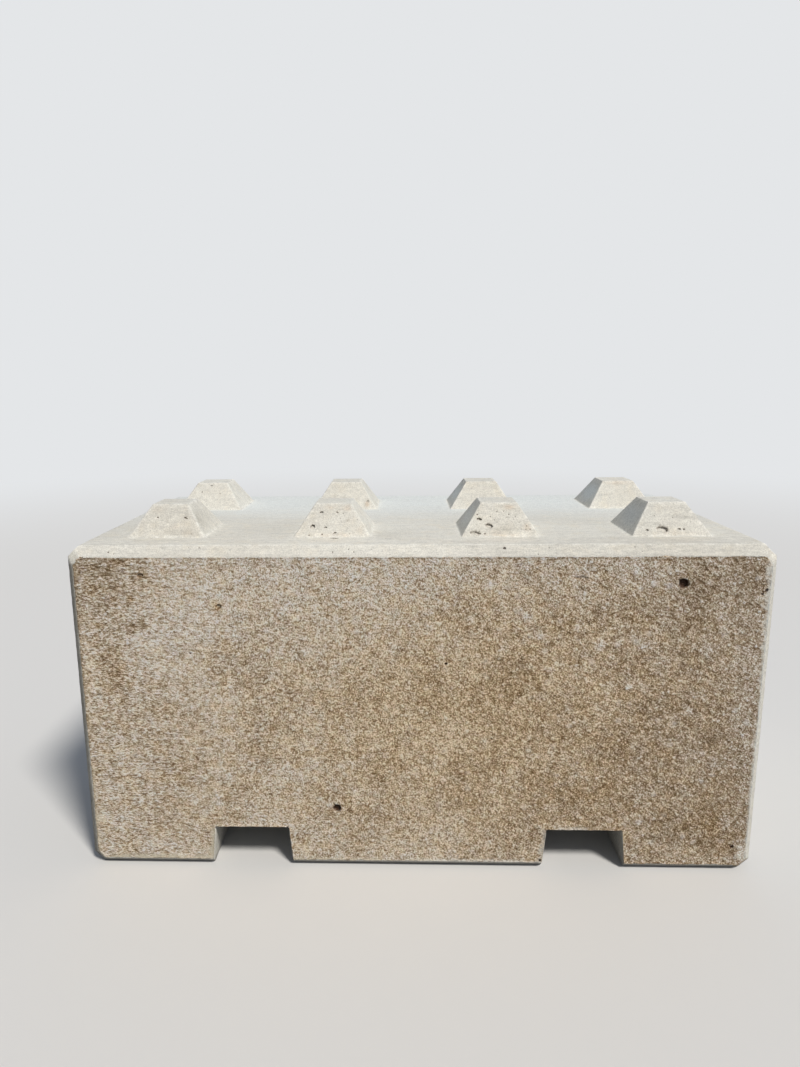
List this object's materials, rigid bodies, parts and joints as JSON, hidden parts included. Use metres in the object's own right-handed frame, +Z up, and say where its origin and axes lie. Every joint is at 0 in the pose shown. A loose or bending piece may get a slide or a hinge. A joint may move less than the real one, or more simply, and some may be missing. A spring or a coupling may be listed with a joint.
{
  "type": "interlocking concrete wall block",
  "caption": "Heavy rectangular concrete wall block with tapered studs on top, matching sockets underneath, two fork pockets through its foot and one rough face.",
  "frame": {"origin": "centre of the underside", "axes": "+Z up, X along the block's length, -Y out of the rough face"},
  "size_m": [1.6, 0.8, 0.874],
  "materials": {
    "concrete": "pale smooth cast concrete with small air holes, and one rough brown-beige face where the mould was filled"
  },
  "bodies": {
    "root": {"wall_block": "concrete"}
  },
  "joints": []
}
